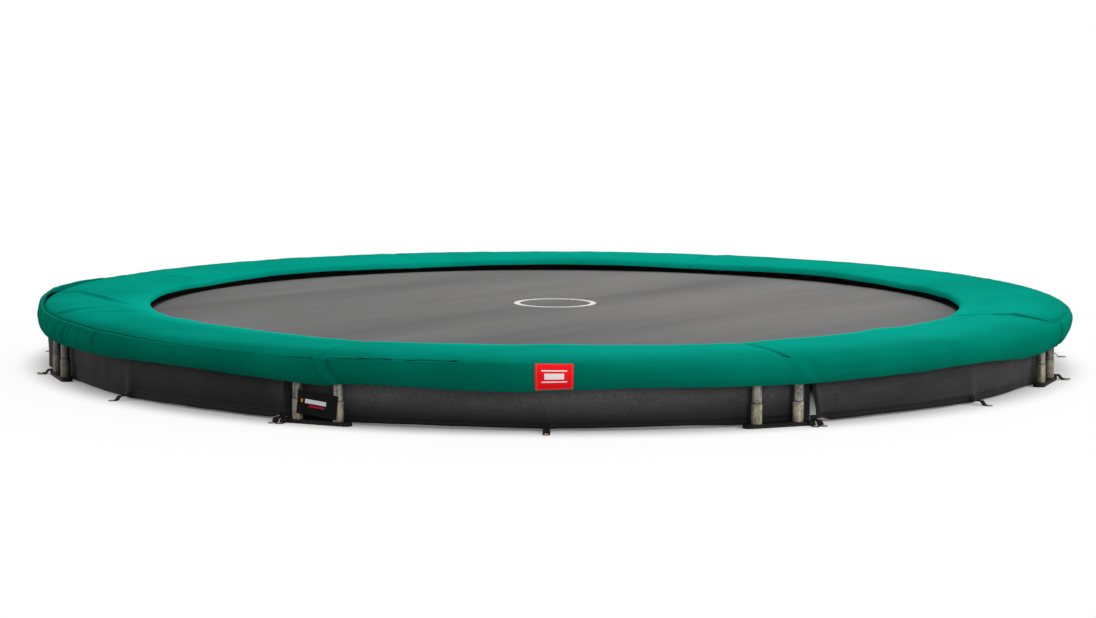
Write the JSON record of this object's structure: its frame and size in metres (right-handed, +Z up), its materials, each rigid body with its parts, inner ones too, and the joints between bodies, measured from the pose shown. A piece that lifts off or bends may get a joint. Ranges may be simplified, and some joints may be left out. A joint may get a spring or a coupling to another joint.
{
  "type": "backyard trampoline",
  "caption": "Low round trampoline on short twin-post legs: a sprung woven mat inside a green padded edge cover, with a black mesh skirt round the foot.",
  "frame": {"origin": "on the ground, at the centre of the trampoline", "axes": "+Z up; the front, with the label on the skirt, faces -Y; +X to the right seen from the front"},
  "size_m": [4.332, 4.332, 0.2604],
  "materials": {
    "pad_cover": "coated cloth, satin",
    "mat_weave": "woven, matte",
    "webbing": "woven webbing, matte",
    "mesh": "fine mesh, matte",
    "galvanised": "hot-dip galvanised, dull",
    "spring_steel": "zinc plated",
    "foot_plastic": "matte",
    "eyelet_brass": "satin",
    "label_red": "coated cloth",
    "label_black": "coated cloth"
  },
  "bodies": {
    "frame": {"rail_1": "galvanised", "rail_2": "galvanised", "rail_3": "galvanised", "rail_4": "galvanised", "rail_5": "galvanised", "rail_6": "galvanised", "rail_7": "galvanised", "rail_8": "galvanised", "leg_1": "galvanised", "leg_2": "galvanised", "leg_3": "galvanised", "leg_4": "galvanised", "leg_5": "galvanised", "leg_6": "galvanised", "leg_7": "galvanised", "leg_8": "galvanised", "foot_1": "foot_plastic", "foot_2": "foot_plastic", "foot_3": "foot_plastic", "foot_4": "foot_plastic", "foot_5": "foot_plastic", "foot_6": "foot_plastic", "foot_7": "foot_plastic", "foot_8": "foot_plastic", "springs_1": "spring_steel", "springs_2": "spring_steel", "springs_3": "spring_steel", "springs_4": "spring_steel", "springs_5": "spring_steel", "springs_6": "spring_steel", "springs_7": "spring_steel", "springs_8": "spring_steel", "pad_1": "pad_cover", "pad_2": "pad_cover", "pad_3": "pad_cover", "pad_4": "pad_cover", "pad_5": "pad_cover", "pad_6": "pad_cover", "pad_7": "pad_cover", "pad_8": "pad_cover", "net_1": "mesh", "net_2": "mesh", "net_3": "mesh", "net_4": "mesh", "net_5": "mesh", "net_6": "mesh", "net_7": "mesh", "net_8": "mesh", "leg_screws": "spring_steel", "rail_screws": "spring_steel", "pad_straps": "webbing", "net_ties": "webbing", "net_tabs": "webbing", "tab_eyelets": "eyelet_brass", "front_label": "label_red", "leg_label": "label_black"},
    "jump_mat": {"mat": "mat_weave", "mat_hem": "webbing", "mat_rings": "spring_steel"}
  },
  "joints": [
    {"name": "mat_bounce", "type": "slide", "parent": "frame", "child": "jump_mat", "axis": [0, 0, 1], "range_m": [-0.18, 0.01], "stiffness_N_per_m": 5000, "springref_m": 0.0188, "deforming": ["springs_1", "springs_2", "springs_3", "springs_4", "springs_5", "springs_6", "springs_7", "springs_8"]}
  ]
}
